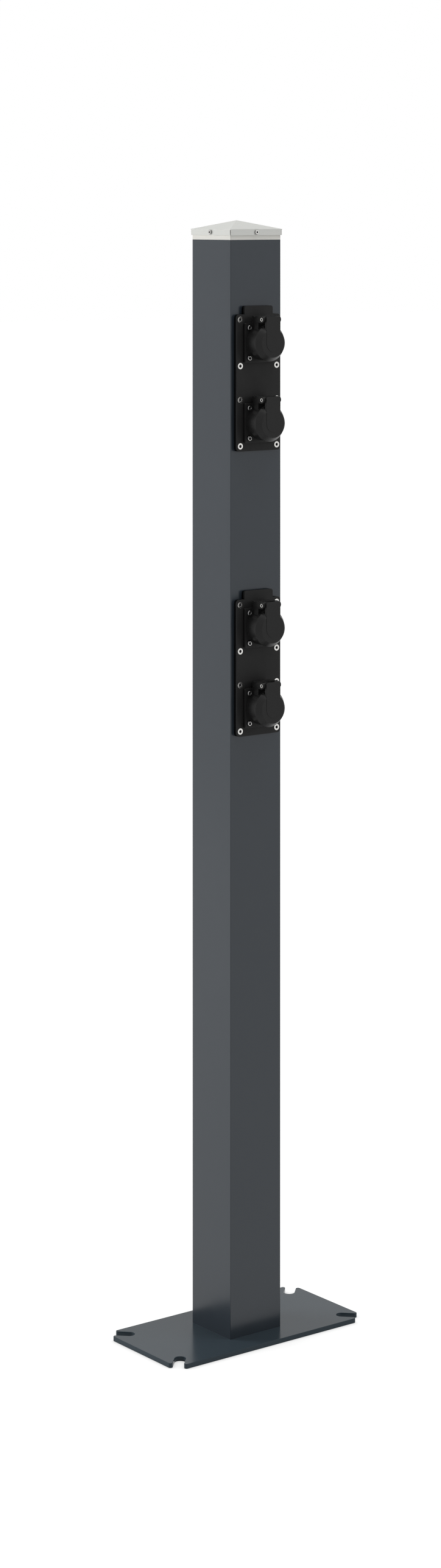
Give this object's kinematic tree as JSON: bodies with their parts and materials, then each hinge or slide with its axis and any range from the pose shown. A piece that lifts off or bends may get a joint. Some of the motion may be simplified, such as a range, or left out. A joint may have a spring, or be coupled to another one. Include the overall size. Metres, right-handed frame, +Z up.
{
  "type": "e-bike charging station",
  "caption": "Square charging post on a slotted foot plate, with lidded mains sockets on two plates and a low pyramid cap.",
  "frame": {"origin": "centre of the foot plate's underside, on the axis of the tube and of the cable hole", "axes": "+Z up along the tube, the sockets face -Y, +X along the foot plate's long side"},
  "size_m": [0.3, 0.1513, 1.412],
  "materials": {
    "post_paint": "satin dark grey powder coat",
    "cap_paint": "smooth pale grey powder coat",
    "plate_plastic": "fine matt moulding",
    "socket_plastic": "fine matt moulding",
    "insert_plastic": "smooth moulding",
    "gasket_rubber": "closed cell rubber",
    "stainless": "bright stainless steel",
    "zinc_steel": "zinc plated",
    "tinned_copper": "tinned copper",
    "contact_brass": "plain brass",
    "grey_plastic": "moulded",
    "green_plastic": "moulded",
    "blue_plastic": "moulded",
    "brown_insulation": "smooth insulation",
    "green_insulation": "smooth insulation",
    "blue_insulation": "smooth insulation"
  },
  "bodies": {
    "post": {"base_plate": "post_paint", "post_tube": "post_paint", "cap_frame": "cap_paint", "cap_cover": "cap_paint", "cap_screws": "stainless", "plate_gasket_upper": "gasket_rubber", "plate_gasket_lower": "gasket_rubber", "socket_plate_upper": "plate_plastic", "socket_plate_lower": "plate_plastic", "plate_screws": "stainless", "rivet_nuts": "zinc_steel", "flange_screws": "stainless", "weld_studs": "zinc_steel", "terminal_rail": "zinc_steel", "rail_nuts": "zinc_steel", "terminal_line": "grey_plastic", "terminal_earth": "green_plastic", "terminal_neutral": "blue_plastic", "end_stops": "grey_plastic", "earth_lug": "tinned_copper", "earth_nut": "zinc_steel", "wires_line": "brown_insulation", "wires_earth": "green_insulation", "wires_neutral": "blue_insulation", "flange_gasket_1": "gasket_rubber", "flange_gasket_2": "gasket_rubber", "flange_gasket_3": "gasket_rubber", "flange_gasket_4": "gasket_rubber", "socket_housing_1": "socket_plastic", "socket_housing_2": "socket_plastic", "socket_housing_3": "socket_plastic", "socket_housing_4": "socket_plastic", "contact_insert_1": "insert_plastic", "contact_insert_2": "insert_plastic", "contact_insert_3": "insert_plastic", "contact_insert_4": "insert_plastic", "contacts_1": "contact_brass", "contacts_2": "contact_brass", "contacts_3": "contact_brass", "contacts_4": "contact_brass", "earth_bow_1": "zinc_steel", "earth_bow_2": "zinc_steel", "earth_bow_3": "zinc_steel", "earth_bow_4": "zinc_steel", "hinge_pin_1": "stainless", "hinge_pin_2": "stainless", "hinge_pin_3": "stainless", "hinge_pin_4": "stainless", "lid_spring_1": "stainless", "lid_spring_2": "stainless", "lid_spring_3": "stainless", "lid_spring_4": "stainless"},
    "flap_1": {"lid_1": "socket_plastic", "lid_seal_1": "gasket_rubber"},
    "flap_2": {"lid_2": "socket_plastic", "lid_seal_2": "gasket_rubber"},
    "flap_3": {"lid_3": "socket_plastic", "lid_seal_3": "gasket_rubber"},
    "flap_4": {"lid_4": "socket_plastic", "lid_seal_4": "gasket_rubber"}
  },
  "joints": [
    {"name": "lid_hinge_1", "type": "hinge", "parent": "post", "child": "flap_1", "pos_m": [0, -0.0696, 1.28785], "axis": [-1, 0, 0], "range_deg": [0, 110], "stiffness_Nm_per_rad": 0.03, "springref_deg": -45.84, "deforming": ["lid_spring_1"]},
    {"name": "lid_hinge_2", "type": "hinge", "parent": "post", "child": "flap_2", "pos_m": [0, -0.0696, 1.18715], "axis": [-1, 0, 0], "range_deg": [0, 110], "stiffness_Nm_per_rad": 0.03, "springref_deg": -45.84, "deforming": ["lid_spring_2"]},
    {"name": "lid_hinge_3", "type": "hinge", "parent": "post", "child": "flap_3", "pos_m": [0, -0.0696, 0.92985], "axis": [-1, 0, 0], "range_deg": [0, 110], "stiffness_Nm_per_rad": 0.03, "springref_deg": -45.84, "deforming": ["lid_spring_3"]},
    {"name": "lid_hinge_4", "type": "hinge", "parent": "post", "child": "flap_4", "pos_m": [0, -0.0696, 0.82915], "axis": [-1, 0, 0], "range_deg": [0, 110], "stiffness_Nm_per_rad": 0.03, "springref_deg": -45.84, "deforming": ["lid_spring_4"]}
  ]
}
